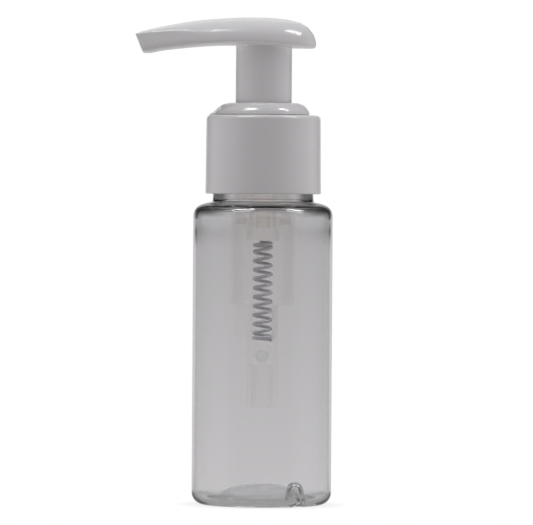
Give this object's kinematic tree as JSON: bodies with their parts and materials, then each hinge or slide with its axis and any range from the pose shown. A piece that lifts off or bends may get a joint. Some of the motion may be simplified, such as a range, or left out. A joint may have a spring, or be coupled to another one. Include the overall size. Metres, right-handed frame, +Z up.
{
  "type": "pump oil bottle",
  "caption": "Small clear cylinder bottle with a white saddle-head lotion pump, screw closure, lock collar and return spring.",
  "frame": {"origin": "centre of the plan outline on the resting plane; the bottle's own axis is parallel to Z at x = +7.0 mm", "axes": "+Z up along the bottle, -X the way the nozzle points, +Y by the right-hand rule"},
  "size_m": [0.0472, 0.0332, 0.1159],
  "materials": {
    "bottle_pet": "clear, slightly smoky, polished",
    "white_pp": "satin gloss",
    "gasket_foam": "soft foam",
    "natural_pp": "translucent, natural",
    "stem_pp": "translucent, natural",
    "rod_pp": "translucent, natural",
    "piston_pe": "translucent, soft",
    "spring_steel": "drawn wire",
    "ball_glass": "polished, pale bluish",
    "tube_pe": "translucent, natural"
  },
  "bodies": {
    "bottle_body": {"bottle": "bottle_pet"},
    "pump_core": {"pump_housing": "natural_pp", "lock_collar": "white_pp", "neck_gasket": "gasket_foam", "return_spring": "spring_steel", "dip_tube": "tube_pe"},
    "closure_body": {"closure": "white_pp"},
    "plunger": {"valve_rod": "rod_pp"},
    "actuator": {"actuator_head": "white_pp", "pump_stem": "stem_pp"},
    "piston_body": {"piston": "piston_pe"},
    "ball_body": {"inlet_ball": "ball_glass"}
  },
  "joints": [
    {"name": "unscrew_rise", "type": "slide", "parent": "bottle_body", "child": "pump_core", "axis": [0, 0, 1], "range_m": [0, 0.00556]},
    {"name": "closure_turn", "type": "hinge", "parent": "pump_core", "child": "closure_body", "pos_m": [0.007, 0, 0.083], "axis": [0, 0, 1], "range_deg": [0, 630.1]},
    {"name": "press", "type": "slide", "parent": "pump_core", "child": "plunger", "axis": [0, 0, -1], "range_m": [0, 0.011], "stiffness_N_per_m": 600, "springref_m": -0.008, "deforming": ["return_spring"]},
    {"name": "actuator_swivel", "type": "hinge", "parent": "plunger", "child": "actuator", "pos_m": [0.007, 0, 0.09], "axis": [0, 0, 1], "range_deg": [-90, 0]},
    {"name": "piston_float", "type": "slide", "parent": "plunger", "child": "piston_body", "axis": [0, 0, 1], "range_m": [0, 0.0009]},
    {"name": "ball_lift", "type": "slide", "parent": "pump_core", "child": "ball_body", "axis": [0, 0, 1], "range_m": [0, 0.0012]}
  ],
  "couplings": [
    {"joint": "closure_turn", "follows": "unscrew_rise", "rad_per_m": 1979}
  ]
}
